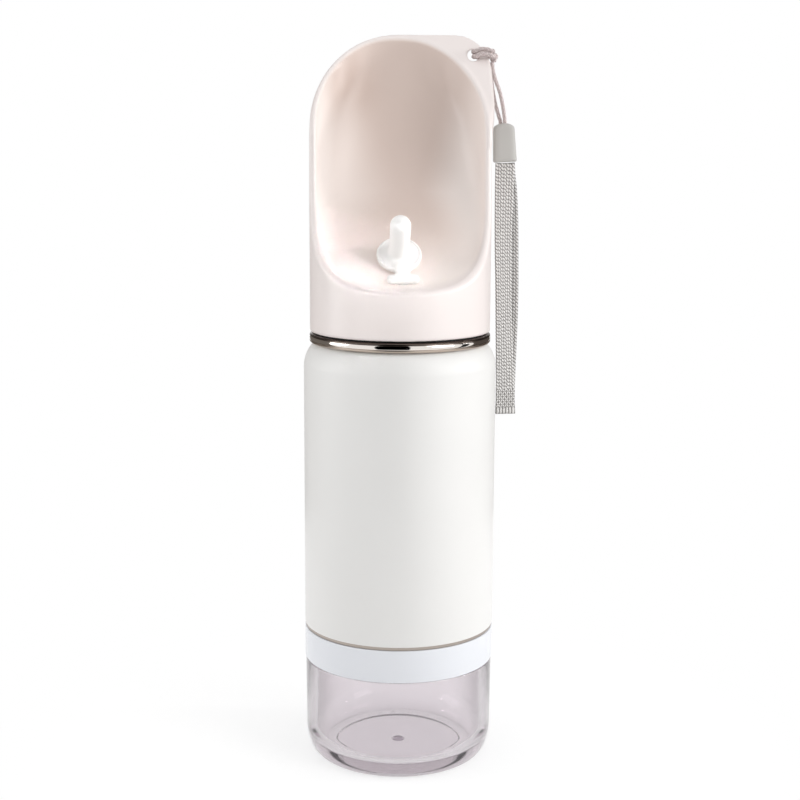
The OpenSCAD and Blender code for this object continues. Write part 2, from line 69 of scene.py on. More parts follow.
# Scoop head, its bowl and the lug with the lanyard's hole.
HEAD_Z, HEAD_R, LIP_Z, TOP_Z, RAKE, RISER_DROP = 164.0, 33.65, 182.0, 275.1, math.radians(46), 7.0
BOWL_R, BORE_R, LEDGE_R, LEDGE_Z, LEDGE_T = 31.3, 31.0, 26.0, 175.85, 4.8
HEAD_WALL, CAVITY_TOP, BOWL_POWER = 2.35, 251.1, 2.4
LUG_X, LUG_CORNER, LUG_T, LUG_STEP, LUG_WEB = 35.3, 13.0, 3.0, 0.15, 5.0
LUG_SIDE_X, LUG_SIDE_SLOPE = 33.45, 0.213
HOLE_X, HOLE_Z, HOLE_R, HOLE_FROM = 28.7, 266.0, 2.25, 12.0
# Plug and anchor: heights over the bowl's floor, and tilts from it in degrees.
SEAT_X, SEAT_Y, SEAT_RISE, SEAT_TILT, SEAT_EDGE = -1.0, -10.2, 1.9, 7.5, 0.7
PORT_R, SOCKET_L, SOCKET_WALL, SPIGOT_R, SPIGOT_L = 4.7, 8.0, 2.0, 4.62, 4.0
DISC_R, DISC_T, DISC_RIM, DISH_H, STEM_R, STEM_L = 8.25, 2.4, 1.1, 0.3, 3.75, 20.2
ANCHOR_Y, ANCHOR_RISE, ANCHOR_TILT, ANCHOR_SIZE = -22.8, 0.35, 1.1, (11.6, 4.6, 2.4)
PAD_EDGE_X, PAD_EDGE_Y, PAD_T = 0.6, 0.5, 1.4
PEG_R, BARB_R, BARB_L, BARB_DOWN = 2.0, 3.0, 2.0, 3.1
TETHER_W, TETHER_T, TETHER_LOW, TETHER_HIGH = 4.9, 1.5, 1.1, 1.55
HINGE = (-18.963, 186.46)
# Cord, its hitch and knot, the strap with its stitches, and the clamp.
CORD_D, KNOT = 1.5, (36.5, 26.0, 265.3)
HITCH_UP, HITCH_GAP, HITCH_ARCH, HITCH_D = 0.7, 0.92, 0.6, 1.8
STRAP_W, STRAP_T, CORE_IN, CORE_SUNK, FLARE, FLARE_RUN = 8.2, 1.1, 0.35, 0.22, 0.05, 6.0
STITCH_LEAN, STITCH_EDGE = math.radians(34), 0.75
OPEN_PITCH, OPEN_COLUMNS, OPEN_LEAF, OPEN_YARN = 1.37, 7, 0.74, 0.4
SEWN, SEWN_PITCH, SEWN_COLUMNS, SEWN_LEAF, SEWN_YARN = 7.2, 0.95, 9, 0.55, 0.27
RIBS, RIB_COLUMNS, RIB_EDGE, RIB_YARN = 2.8, 6, 0.9, 0.48
CLAMP_TOP, CLAMP_LEAN = (40.7, 26.0, 240.7), 3.0
CLAMP_W, CLAMP_H, CLAMP_T, CLAMP_TAPER, CLAMP_CROWN = 9.3, 14.8, 5.2, 0.55, 2.4

# Routes of the cord and of the strap's two runs, point for point as in part.scad.
STRAND_A = [(36, 25.3, 263.4), (36.3, 25.2, 260.4), (37.4, 25, 256.5), (38.9, 24.9, 252.6),
            (39.9, 25, 248.8), (40.6, 25.1, 245.2), (41, 25.2, 242.4), (41.1, 25.3, 241)]
STRAND_B = [(35.9, 26.8, 263.4), (36, 27.1, 259.6), (36.2, 27.3, 255.6), (36.8, 27.2, 251.6),
            (37.6, 27, 247.8), (38.6, 26.8, 244.4), (39.3, 26.7, 242.2), (39.6, 26.6, 241)]
STRAP_FRONT = [(41.5, 25.3, 225.5), (41.4, 24.9, 221.5), (41.3, 24.3, 214), (41.3, 23.8, 204),
               (41.5, 23.6, 192), (41.9, 23.6, 180), (42.2, 23.9, 168), (42.5, 24.3, 156),
               (42.8, 24.8, 146), (43, 25.2, 138), (43.1, 25.4, 132), (43.2, 25.4, 127.4)]
STRAP_BACK = [(41.7, 26.7, 225.5), (42, 27.2, 221.5), (42.9, 27.8, 214), (43.5, 28.2, 204),
              (43.8, 28.4, 192), (44, 28.4, 180), (44, 28.1, 168), (43.7, 27.7, 156),
              (43.4, 27.2, 146), (43.2, 26.8, 138), (43.2, 26.6, 132), (43.2, 26.6, 127.4)]

# Inside the clamp the cord turns back on itself.
CLAMP_BEND = [(41.1, 25.5, 238.6), (40.7, 25.8, 237.1), (40.1, 26.1, 237.1), (39.7, 26.4, 238.6)]

# ---- Camera: millimetres for the lens, degrees, and metres for the place ----

LENS, TURN, PITCH, ROLL = 68.88, -2.8, 9.77, 0.27
CAMERA_SIDE, CAMERA_BACK, CAMERA_HEIGHT = 0.00014, 0.5695, 0.2355


def in_scene(name, data):
    obj = bpy.data.objects.new(name, data)
    bpy.context.scene.collection.objects.link(obj)
    return obj


def make_camera():
    cam = bpy.data.cameras.new("camera")
    cam.sensor_width = 36
    cam.lens = LENS
    cam.clip_start, cam.clip_end = 0.01, 20
    obj = in_scene("camera", cam)
    turn = Matrix.Rotation(math.radians(TURN), 4, "Z")
    pitch = Matrix.Rotation(math.radians(90 - PITCH), 4, "X")
    roll = Matrix.Rotation(math.radians(ROLL), 4, "Z")
    spot = turn @ Vector((CAMERA_SIDE, -CAMERA_BACK, 0))
    obj.matrix_world = Matrix.Translation((spot.x, spot.y, CAMERA_HEIGHT)) @ turn @ pitch @ roll
    bpy.context.scene.camera = obj


make_camera()

# ---- Meshes ----

SHARP = math.radians(26)


def new_mesh(name, verts, faces, material, smooth=True, scale=MM):
    """A mesh in the scene; scale is how many metres one unit of its points is."""
    mesh = bpy.data.meshes.new(name)
    mesh.from_pydata([tuple(c * scale for c in v) for v in verts], [], [tuple(f) for f in faces])
    mesh.validate()
    mesh.polygons.foreach_set("use_smooth", [smooth] * len(mesh.polygons))
    mesh.update()
    mesh.materials.append(material)
    return in_scene(name, mesh)


def tube_faces(rows, columns):
    """Faces of a closed tube over rings of equally many points, listed ring by ring."""
    faces = []
    for i in range(rows - 1):
        a, b = i * columns, (i + 1) * columns
        for j in range(columns):
            k = (j + 1) % columns
            faces.append((a + j, a + k, b + k, b + j))
    faces.append(tuple(reversed(range(columns))))
    faces.append(tuple(range((rows - 1) * columns, rows * columns)))
    return faces


def revolve(profile, steps):
    """Vertices and faces of a closed profile of (r, z) turned about Z."""
    n = len(profile)
    verts = []
    for i in range(steps):
        a = 2 * math.pi * i / steps
        verts += [(r * math.cos(a), r * math.sin(a), z) for r, z in profile]
    faces = []
    for i in range(steps):
        k = (i + 1) % steps
        for j in range(n):
            m = (j + 1) % n
            if profile[j][0] < 1e-6 and profile[m][0] < 1e-6:
                continue
            faces.append((i * n + j, k * n + j, k * n + m, i * n + m))
    return verts, faces


def tidy(obj, distance=1e-6):
    """Welds doubled points, turns faces outwards and keeps steep edges crisp in a mesh."""
    bm = bmesh.new()
    bm.from_mesh(obj.data)
    bmesh.ops.remove_doubles(bm, verts=bm.verts, dist=distance)
    bmesh.ops.dissolve_degenerate(bm, edges=bm.edges, dist=distance)
    bmesh.ops.recalc_face_normals(bm, faces=bm.faces)
    for face in bm.faces:
        face.smooth = True
    for edge in bm.edges:
        edge.smooth = not (edge.is_manifold and edge.calc_face_angle() > SHARP)
    bm.to_mesh(obj.data)
    bm.free()
    return obj


def coordinates(obj):
    """The x, y and z of a mesh's points, in millimetres."""
    co = np.empty(len(obj.data.vertices) * 3)
    obj.data.vertices.foreach_get("co", co)
    return co.reshape(-1, 3).T / MM


def write_attribute(obj, key, values):
    """Gives each point of a mesh a number that its material reads by key."""
    layer = obj.data.attributes.new(key, "FLOAT", "POINT")
    layer.data.foreach_set("value", values)


def arc(c, rx, rz, a0, a1, n):
    """Part of an ellipse about c, from angle a0 to a1 in degrees."""
    return [(c[0] + rx * math.cos(math.radians(a0 + (a1 - a0) * i / n)),
             c[1] + rz * math.sin(math.radians(a0 + (a1 - a0) * i / n))) for i in range(n + 1)]


def rounded(profile, radii, n=6):
    """A closed profile with round corners: radii holds one radius a point, 0 for a sharp one."""
    out = []
    count = len(profile)
    for i, (p, r) in enumerate(zip(profile, radii)):
        if r <= 0:
            out.append(p)
            continue
        p = Vector(p)
        a = Vector(profile[i - 1]) - p
        b = Vector(profile[(i + 1) % count]) - p
        a.normalize()
        b.normalize()
        half = a.angle(b) / 2
        back = r / math.tan(half)
        centre = p + (a + b).normalized() * (r / math.sin(half))
        start, end = p + a * back - centre, p + b * back - centre
        for k in range(n + 1):
            t = k / n
            v = start.lerp(end, t).normalized() * r
            out.append(tuple(centre + v))
    return out


# ---- Smooth bodies from a distance function ----


def smax(a, b, k):
    """The larger of a and b, with the edge between them rounded over about k."""
    h = np.maximum(k - np.abs(a - b), 0) / k
    return np.maximum(a, b) + h * h * k / 4


def smin(a, b, k):
    return -smax(-a, -b, k)


def neighbours(grid, axis):
    """A grid without its last layer along an axis, and the same without its first."""
    low, high = [slice(None)] * 3, [slice(None)] * 3
    low[axis], high[axis] = slice(0, -1), slice(1, None)
    return grid[tuple(low)], grid[tuple(high)]


def crossed_cells(d):
    """The cells that the surface crosses, and the middle of its crossings in each, 0 to 1."""
    shape = tuple(n - 1 for n in d.shape)
    total = np.zeros(shape + (3,), np.float32)
    count = np.zeros(shape, np.int16)
    for axis in range(3):
        da, db = neighbours(d, axis)
        crossed = (da < 0) != (db < 0)
        t = np.where(crossed, da / np.where(crossed, da - db, 1), 0)
        first, second = [k for k in range(3) if k != axis]
        for u in (0, 1):
            for v in (0, 1):
                cut = [slice(None)] * 3
                cut[first] = slice(u, u + shape[first])
                cut[second] = slice(v, v + shape[second])
                c = crossed[tuple(cut)]
                count += c
                total[..., axis] += np.where(c, t[tuple(cut)], 0)
                total[..., first] += np.where(c, u, 0)
                total[..., second] += np.where(c, v, 0)
    cells = np.argwhere(count > 0)
    return cells, total[tuple(cells.T)] / count[tuple(cells.T)][:, None]


def cell_faces(inside, cells):
    """A four-sided face round each edge of the grid with one end inside, turned outwards."""
    number = np.full(tuple(n - 1 for n in inside.shape), -1)
    number[tuple(cells.T)] = np.arange(len(cells))
    faces = []
    for axis in range(3):
        low, high = neighbours(inside, axis)
        edges = np.argwhere(low != high)
        ring = []
        for u, v in ((-1, -1), (0, -1), (0, 0), (-1, 0)):
            cell = edges.copy()
            cell[:, (axis + 1) % 3] += u
            cell[:, (axis + 2) % 3] += v
            ring.append(number[tuple(cell.T)])
        quads = np.stack(ring, 1)
        backwards = ~inside[tuple(edges.T)]
        quads[backwards] = quads[backwards][:, ::-1]
        faces.append(quads)
    return np.concatenate(faces)


def changes(f, x, y, z, e):
    """A function's value, and how much it changes over e along x, y and z."""
    value = f(x, y, z)
    return value, [f(x + e, y, z) - value, f(x, y + e, z) - value, f(x, y, z + e) - value]


def settled(points, distance, reach, rounds=3, e=0.02):
    """Moves points towards distance = 0, each time along its slope and by reach at most."""
    for _ in range(rounds):
        f, change = changes(distance, *points.T, e)
        g = np.stack(change, 1) / e
        move = -f[:, None] * g / np.maximum((g * g).sum(1), 0.3)[:, None]
        length = np.linalg.norm(move, axis=1)
        points = points + move * np.minimum(1, reach / np.maximum(length, 1e-9))[:, None]
    return points


def skin(name, distance, low, high, step, material):
    """A closed mesh of distance(x, y, z) = 0, from its values on a grid of step."""
    axes = [np.arange(lo - step, hi + 1.5 * step, step) for lo, hi in zip(low, high)]
    x, y, z = np.meshgrid(*axes, indexing="ij", sparse=True)
    d = np.empty([len(a) for a in axes], np.float32)
    for i in range(0, len(axes[0]), 16):
        d[i:i + 16] = distance(x[i:i + 16], y, z)
    cells, where = crossed_cells(d)
    points = (cells + where) * step + np.array([a[0] for a in axes])
    points = settled(points, distance, step / 2)
    return new_mesh(name, points.tolist(), cell_faces(d < 0, cells).tolist(), material)


# ---- Materials ----


def srgb(*rgb):
    """A colour given as 0 to 255, made linear, with its alpha."""
    c = [v / 255 for v in rgb]
    return tuple(v / 12.92 if v <= 0.04045 else ((v + 0.055) / 1.055) ** 2.4 for v in c) + (1.0,)


def set_inputs(node, inputs):
    """Sets inputs by name or number, each to a value or to another node's output."""
    for key, value in inputs.items():
        if isinstance(value, bpy.types.NodeSocket):
            node.id_data.links.new(value, node.inputs[key])
        else:
            node.inputs[key].default_value = value


def add(tree, kind, inputs, **settings):
    """A new node with its settings and inputs."""
    node = tree.nodes.new("ShaderNode" + kind)
    for key, value in settings.items():
        setattr(node, key, value)
    set_inputs(node, inputs)
    return node


def ramp(tree, value, start, end, low=0.0, high=1.0, kind="LINEAR"):
    """Goes from low to high as a value goes from start to end."""
    return add(tree, "MapRange", {"Value": value, "From Min": start, "From Max": end,
                                  "To Min": low, "To Max": high},
               interpolation_type=kind).outputs["Result"]


def new_material(name):
    mat = bpy.data.materials.new(name)
    mat.use_nodes = True
    return mat, mat.node_tree


def surface(name, colour, rough, mottle=0.03, mottle_scale=60, grain=0, grain_scale=2500,
            grain_height=0.02, rough_swing=0.04, **sockets):
    """A shader with a slight change of colour and roughness over it, and a fine grain."""
    mat, tree = new_material(name)
    place = add(tree, "TexCoord", {}).outputs["Object"]
    broad = add(tree, "TexNoise", {"Scale": mottle_scale, "Detail": 3, "Vector": place})
    mottled = add(tree, "Mix", {"Factor": broad.outputs["Fac"],
                                "A": tuple(c * (1 - mottle) for c in colour[:3]) + (1,),
                                "B": tuple(min(1, c * (1 + mottle)) for c in colour[:3]) + (1,)},
                  data_type="RGBA")
    swing = ramp(tree, broad.outputs["Fac"], 0, 1, max(0.01, rough - rough_swing),
                 min(1, rough + rough_swing))
    inputs = {"Base Color": mottled.outputs["Result"], "Roughness": swing}
    if grain:
        fine = add(tree, "TexNoise", {"Scale": grain_scale, "Detail": 2, "Vector": place})
        bump = add(tree, "Bump", {"Strength": grain, "Distance": grain_height * MM,
                                  "Height": fine.outputs["Fac"]})
        inputs["Normal"] = bump.outputs["Normal"]
    inputs.update((key.replace("_", " "), value) for key, value in sockets.items())
    set_inputs(tree.nodes["Principled BSDF"], inputs)
    return mat


def mix_in(mat, factor, colour):
    """Mixes a second colour into the first where factor, a node's output, is above 0."""
    shader = mat.node_tree.nodes["Principled BSDF"]
    first = shader.inputs["Base Color"].links[0].from_socket
    mix = add(mat.node_tree, "Mix", {"Factor": factor, "A": first, "B": colour},
              data_type="RGBA")
    set_inputs(shader, {"Base Color": mix.outputs["Result"]})


def tint(mat, attribute, colour, low, high):
    """Turns the colour towards another as an attribute of the mesh goes from low to high."""
    value = add(mat.node_tree, "Attribute", {}, attribute_name=attribute)
    mix_in(mat, ramp(mat.node_tree, value.outputs["Fac"], low, high), colour)


def paint_dark_edges(mat, colour, edge_on=(0.25, 0.7), foot=(0.005, 0.014)):
    """Paints shade on clear plastic where it is seen edge on, for the dark edges that the
    surroundings give through it, above a foot that stays bright.

    foot holds the heights, in metres, between which that begins."""
    tree = mat.node_tree
    layer, coords = add(tree, "LayerWeight", {}), add(tree, "TexCoord", {})
    axes = add(tree, "SeparateXYZ", {0: coords.outputs["Object"]})
    both = add(tree, "Math", {
        0: ramp(tree, layer.outputs["Facing"], *edge_on, kind="SMOOTHSTEP"),
        1: ramp(tree, axes.outputs["Z"], *foot, kind="SMOOTHSTEP")}, operation="MULTIPLY")
    mix_in(mat, both.outputs[0], colour)


def absorb(mat, colour, density):
    """Colours light by the way that it goes inside the material."""
    smoke = add(mat.node_tree, "VolumeAbsorption", {"Color": colour, "Density": density})
    set_inputs(mat.node_tree.nodes["Material Output"], {"Volume": smoke.outputs[0]})


MATS = {
    "paint": surface("white_powder_coat", srgb(239, 238, 236), 0.42, grain=0.25, grain_scale=900,
                     grain_height=0.03, mottle=0.01),
    "steel": surface("spun_steel", srgb(176, 166, 158), 0.3, Metallic=1.0, grain=0.2,
                     grain_scale=1500),
    "ring": surface("polished_steel", srgb(232, 226, 220), 0.07, Metallic=1.0, rough_swing=0.02,
                    mottle=0.02),
    # Satin, its colour darkened as a painted reflection of the shoulder in shade.
    "satin": surface("satin_steel_painted_reflection", srgb(196, 182, 170), 0.28, Metallic=1.0),
    # Painted dark reflection on the ring's rounded upper edge.
    "dark_ring": surface("steel_painted_dark_reflection", srgb(92, 82, 76), 0.22, Metallic=1.0),
    # Painted shadow: near black for the shaded gap between ring and head.
    "groove": surface("steel_painted_groove_shadow", srgb(30, 26, 24), 0.6, Metallic=0.4),
    "scoop": surface("pale_moulded_plastic", srgb(243, 234, 231), 0.33, mottle=0.008,
                     grain=0.15, grain_scale=1200, grain_height=0.01),
    "collar": surface("white_gloss_plastic", srgb(235, 237, 242), 0.24, mottle=0.01),
    "silicone": surface("white_silicone", srgb(252, 250, 248), 0.4, mottle=0.01, grain=0.15,
                        grain_scale=1500, Subsurface_Weight=0.4, Subsurface_Scale=0.003,
                        Subsurface_Radius=(1, 1, 1)),
    "cord": surface("braid_yarn", srgb(246, 230, 228), 0.8, mottle=0.15, mottle_scale=900,
                    grain=0.6, grain_scale=5000),
    "web": surface("webbing_yarn", srgb(230, 228, 226), 0.8, mottle=0.08, mottle_scale=900,
                   grain=0.6, grain_scale=5000),
    # Dark grey as painted shade in the gaps between the strap's stitches.
    "web_gap_shade": surface("webbing_painted_gap_shade", srgb(152, 149, 147), 0.9, mottle=0.1, mottle_scale=900),
    "clamp": surface("grey_matt_plastic", srgb(190, 188, 184), 0.5, mottle=0.02, grain=0.2,
                     grain_scale=2000),
    "pellet": surface("sealing_glass", srgb(96, 80, 62), 0.2),
    "getter": surface("getter_metal", srgb(160, 160, 158), 0.5, Metallic=0.9, grain=0.3),
    "clear": surface("clear_plastic", (0.875, 0.845, 0.865), 0.03, mottle=0.004,
                     rough_swing=0.01, Transmission_Weight=1.0, IOR=1.28, Coat_Weight=0.6,
                     Coat_Roughness=0.03),
}
# Painted shade in the braid's gaps, and the darker tone of its second yarns.
tint(MATS["cord"], "tone_and_gap_shade", srgb(110, 90, 90), 0, 1)
absorb(MATS["clear"], (0.34, 0.24, 0.30, 1), 15)
# Painted shade at the cup's edges, where it is seen edge on.
paint_dark_edges(MATS["clear"], (0.5, 0.47, 0.49, 1))
# The sprue coloured darker, and painted shade along the step under the cup's floor.
tint(MATS["clear"], "gate", (0.14, 0.1, 0.14, 1), 0, 1)
for node, key in {"base_cap": "steel", "inner_liner": "steel", "liner_bottom": "steel",
                  "vacuum_seal": "pellet", "getter_pack": "getter", "cup_gasket": "silicone",
                  "neck_gasket": "silicone", "outer_shell": "paint", "neck_ring": "ring",
                  "base_collar": "collar", "food_cup": "clear", "scoop_head": "scoop",
                  "plug_anchor": "silicone", "plug_tether": "silicone", "outlet_plug": "silicone",
                  "lanyard_knot": "cord", "lanyard_cord": "cord", "cord_clamp": "clamp",
                  "wrist_strap": "web"}.items():
    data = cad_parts[node].data
    data.materials.clear()
    data.materials.append(MATS[key])

# ---- Cords ----


def unit(v):
    """Directions made one long."""
    return v / np.linalg.norm(v, axis=1)[:, None]


def spline(points, n):
    """n + 1 evenly spread points and headings on a smooth curve, and the curve's length."""
    p = np.array(points, float)
    q = np.vstack([2 * p[0] - p[1], p, 2 * p[-1] - p[-2]])
    fine = []
    for i in range(1, len(q) - 2):
        for t in np.linspace(0, 1, 24, endpoint=False):
            a, b, c, d = q[i - 1], q[i], q[i + 1], q[i + 2]
            fine.append(0.5 * (2 * b + (c - a) * t + (2 * a - 5 * b + 4 * c - d) * t * t
                               + (3 * b - a - 3 * c + d) * t ** 3))
    fine.append(p[-1])
    fine = np.array(fine)
    run = np.concatenate([[0], np.cumsum(np.linalg.norm(np.diff(fine, axis=0), axis=1))])
    s = np.linspace(0, run[-1], n + 1)
    out = np.stack([np.interp(s, run, fine[:, k]) for k in range(3)], 1)
    return out, unit(np.gradient(out, axis=0)), run[-1]


def frames(head, side):
    """Across and outward directions along a curve, across kept near to side."""
    out = unit(np.cross(head, np.array(side, float)))
    return np.cross(out, head), out


def tube(path, across, out, radius, sides):
    """Vertices and faces of a round tube with closed ends."""
    a = np.linspace(0, 2 * math.pi, sides, endpoint=False)
    radius = np.broadcast_to(np.asarray(radius, float), (len(path),))
    verts = (path[:, None, :] + radius[:, None, None] * (
        np.cos(a)[None, :, None] * across[:, None, :] + np.sin(a)[None, :, None] * out[:, None, :]))
    return verts.reshape(-1, 3), tube_faces(len(path), sides)


def gather(parts):
    """One list of vertices and faces from several."""
    verts, faces, n = [], [], 0
    for v, f in parts:
        verts.append(np.asarray(v, float).reshape(-1, 3))
        faces += [tuple(i + n for i in face) for face in f]
        n += len(verts[-1])
    return np.concatenate(verts), faces


def braid(points, diameter, side=(1, 0, 0), yarns=5, lay=4.6, per_turn=20):
    """A round braid of two tones: yarns wound both ways over a core, over and under; the core's
    dark colour is painted shade in the gaps between the yarns.

    Gives vertices, faces and how dark each vertex is."""
    length = spline(points, 8)[2]
    n = max(12, int(length / lay * per_turn))
    path, head, _ = spline(points, n)
    across, out = frames(head, side)
    s = np.linspace(0, length, n + 1)
    yarn = diameter * 0.17
    parts = [tube(path, across, out, diameter / 2 - 1.6 * yarn, 10)]
    for way in (1, -1):
        for k in range(yarns):
            a = 2 * math.pi * (k / yarns) + way * 2 * math.pi * s / lay
            wave = np.cos(yarns * 2 * math.pi * s / lay + math.pi * k) * way
            r = diameter / 2 - yarn * (1.1 - 0.35 * wave)
            line = path + r[:, None] * (np.cos(a)[:, None] * across + np.sin(a)[:, None] * out)
            radial = unit(line - path)
            aside = np.cross(radial, unit(np.gradient(line, axis=0)))
            parts.append(tube(line, aside, radial, yarn, 6))
    # The core's darkness is painted shade in the gaps between the yarns; the yarns wound the other
    # way are the darker tone of the braid's two-tone pattern.
    tone_and_gap_shade = [1] + [0] * yarns + [0.6] * yarns
    return gather(parts) + (np.repeat(tone_and_gap_shade, [len(p[0]) for p in parts]),)


def braided(name, braids):
    """One piece of several braids."""
    verts, faces = gather([b[:2] for b in braids])
    obj = new_mesh(name, verts, faces, MATS["cord"])
    write_attribute(obj, "tone_and_gap_shade", np.concatenate([b[2] for b in braids]))
    return obj


class Strap:
    """A flat run along points, which turns by up to turn degrees midway about one edge."""

    def __init__(self, points, width, thick, turn, side=(1, 0, 0), n=96):
        path, self.head, self.length = spline(points, n)
        flat, front = frames(self.head, side)
        self.run = np.linspace(0, self.length, n + 1)
        angle = math.radians(turn) * np.sin(np.pi * self.run / self.length)[:, None]
        self.across = flat * np.cos(angle) - front * np.sin(angle)
        self.out = front * np.cos(angle) + flat * np.sin(angle)
        self.path = path - flat * (1 - np.cos(angle)) * math.copysign(width / 2, turn)
        self.width, self.thick = width, thick

    def at(self, s, rows):
        """The path, or one of its directions, at s along the run."""
        return np.array([np.interp(s, self.run, rows[:, k]) for k in range(3)])


def strap_core(strap, sides=20):
    """A flattened tube, which grows a little wider over its last stretch."""
    verts = []
    for i, s in enumerate(strap.run):
        half = (strap.width / 2 - CORE_IN) * (
            1 + FLARE * max(0, (s - strap.length + FLARE_RUN) / FLARE_RUN))
        for a in np.linspace(0, 2 * math.pi, sides, endpoint=False):
            u = half * np.sign(math.cos(a)) * abs(math.cos(a)) ** 0.4
            w = (strap.thick / 2 - CORE_SUNK) * np.sign(math.sin(a)) * abs(math.sin(a)) ** 0.6
            verts.append(strap.path[i] + u * strap.across[i] + w * strap.out[i])
    return np.array(verts), tube_faces(len(strap.run), sides)


YARN_RING = [(math.cos(t), math.sin(t)) for t in np.linspace(0, 2 * math.pi, 6, endpoint=False)]


def stitch(strap, s0, u0, half, lean, yarn, face):
    """One slanted leaf of yarn that stands proud of the core."""
    verts = []
    head = strap.at(s0, strap.head)
    for t in np.linspace(-1, 1, 5):
        du, ds = half * t * math.sin(lean), half * t * math.cos(lean)
        lift = strap.thick / 2 - 0.24 + 0.12 * math.cos(t * math.pi / 2)
        girth = yarn * math.sqrt(max(0.08, 1 - t * t * 0.92))
        s = min(max(s0 + ds, 0.1), strap.length - 0.05)
        across, out = strap.at(s, strap.across), strap.at(s, strap.out)
        p = strap.at(s, strap.path) + (u0 + du) * across + face * lift * out
        aside = across * math.cos(lean) - head * math.sin(lean)
        for c, d in YARN_RING:
            verts.append(p + girth * (c * aside + 0.6 * d * out))
    return np.array(verts), tube_faces(5, 6)


def strap_stitches(strap, phase):
    """On each face an open braid, a denser sewn stretch and a row of ribs at the end."""
    stitches = []
    open_end, sewn_end = strap.length - SEWN - RIBS, strap.length - RIBS
    for face in (1, -1):
        rows, gap = int(open_end / OPEN_PITCH), (strap.width - STITCH_EDGE) / OPEN_COLUMNS
        for r in range(rows):
            for c in range(OPEN_COLUMNS):
                s = (r + 0.5 + phase) * open_end / rows + 0.2 * OPEN_PITCH * (c % 2)
                u = (c - (OPEN_COLUMNS - 1) / 2) * gap
                stitches.append(stitch(strap, s, u, OPEN_LEAF, STITCH_LEAN, OPEN_YARN, face))
        rows, gap = int(SEWN / SEWN_PITCH), (strap.width - STITCH_EDGE) / SEWN_COLUMNS
        for r in range(rows):
            s = open_end + (r + 0.5) * SEWN / rows
            for c in range(SEWN_COLUMNS):
                u = (c - (SEWN_COLUMNS - 1) / 2) * gap
                lean = STITCH_LEAN if (c + r) % 2 else -STITCH_LEAN
                stitches.append(stitch(strap, s, u, SEWN_LEAF, lean, SEWN_YARN, face))
        for c in range(RIB_COLUMNS):
            u = (c - (RIB_COLUMNS - 1) / 2) * (strap.width - RIB_EDGE) / RIB_COLUMNS
            stitches.append(stitch(strap, sewn_end + RIBS / 2, u, RIBS / 2, 0, RIB_YARN, face))
    return gather(stitches)


def cord_piece(obj, points, node):
    """Attaches a piece of cord, which leaves the object at its first point and goes back in, to the
    lanyard, and hides the CAD node that it stands for.
    """
    path, _, length = spline(points, 30)
    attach(obj, "lanyard")
    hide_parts(node)


LOOP = STRAND_A + CLAMP_BEND + STRAND_B[::-1]
cord_piece(braided("hanging_cord", [braid(LOOP, CORD_D)]), LOOP,
           "lanyard_cord")
for label, points, phase, turn in (("front", STRAP_FRONT, 0.0, 30),
                                   ("back", STRAP_BACK, 0.4, -12)):
    strap = Strap(points, STRAP_W, STRAP_T, turn)
    # The core's dark grey is painted shade in the gaps between the stitches.
    core = tidy(new_mesh("strap_core_" + label, *strap_core(strap), MATS["web_gap_shade"]), 1e-7)
    yarns = new_mesh("strap_stitches_" + label, *strap_stitches(strap, phase), MATS["web"])
    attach(yarns, "lanyard")
    cord_piece(core, points, "wrist_strap")

# ---- Scoop head ----


def bezier(p, n):
    p = np.array(p, float)
    t = np.linspace(0, 1, n + 1)[:, None]
    return ((1 - t) ** 3 * p[0] + 3 * (1 - t) ** 2 * t * p[1]
            + 3 * (1 - t) * t * t * p[2] + t ** 3 * p[3])


def rake(y):
    """Height of the rim's straight upper part, in the side view."""
    return TOP_Z - (HEAD_R - y) * math.tan(RAKE)


# In the side view the rim runs level from the lip, curves up the riser and joins the rake.
# This line and the floor's below run on past the head at both ends.
RISER_Z = rake(0) - RISER_DROP
RIM = np.vstack([
    [[-60, LIP_Z]],
    bezier([(-HEAD_R, LIP_Z), (-HEAD_R + 8.8, LIP_Z), (-1, LIP_Z + 13.5), (0.2, RISER_Z)], 40),
    bezier([(0.2, RISER_Z), (0.4, RISER_Z + 4), (2, rake(2) - 0.4), (6, rake(6))], 14)[1:],
    [[60, rake(60)]]])


def height_on(line, y):
    return np.interp(y, line[:, 0], line[:, 1])


# The bowl's floor rises from just inside the lip to the top of its back wall.
LIP_IN = float(height_on(RIM, -BOWL_R))
FLOOR = bezier([(-BOWL_R, LIP_IN), (-4.8, LIP_IN), (BOWL_R - 0.5, RISER_Z - 6),
                (BOWL_R, rake(BOWL_R))], 160)
FLOOR_LINE = np.vstack([[[-60, LIP_IN]], FLOOR[::4], [[32, 320]]])


def on_floor(y, rise, tilt):
    """A place above the bowl's floor as (y, z), and its slope in degrees."""
    before, here, after = (float(height_on(FLOOR_LINE, v)) for v in (y - 1, y, y + 1))
    return (y, here + rise), math.degrees(math.atan((after - before) / 2)) + tilt


SEAT, SEAT_ANGLE = on_floor(SEAT_Y, SEAT_RISE, SEAT_TILT)
ANCHOR, ANCHOR_ANGLE = on_floor(ANCHOR_Y, ANCHOR_RISE, ANCHOR_TILT)


def side_distance(line, y, z):
    """Signed distance to a line in the side view, above it positive."""
    y, z = np.broadcast_arrays(np.asarray(y, float), np.asarray(z, float))
    best = np.full(y.shape, 1e9)
    for (ay, az), (by, bz) in zip(line[:-1], line[1:]):
        dy, dz = by - ay, bz - az
        t = np.clip(((y - ay) * dy + (z - az) * dz) / (dy * dy + dz * dz), 0, 1)
        best = np.minimum(best, (y - ay - t * dy) ** 2 + (z - az - t * dz) ** 2)
    return np.sqrt(best) * np.where(z > height_on(line, y), 1, -1)


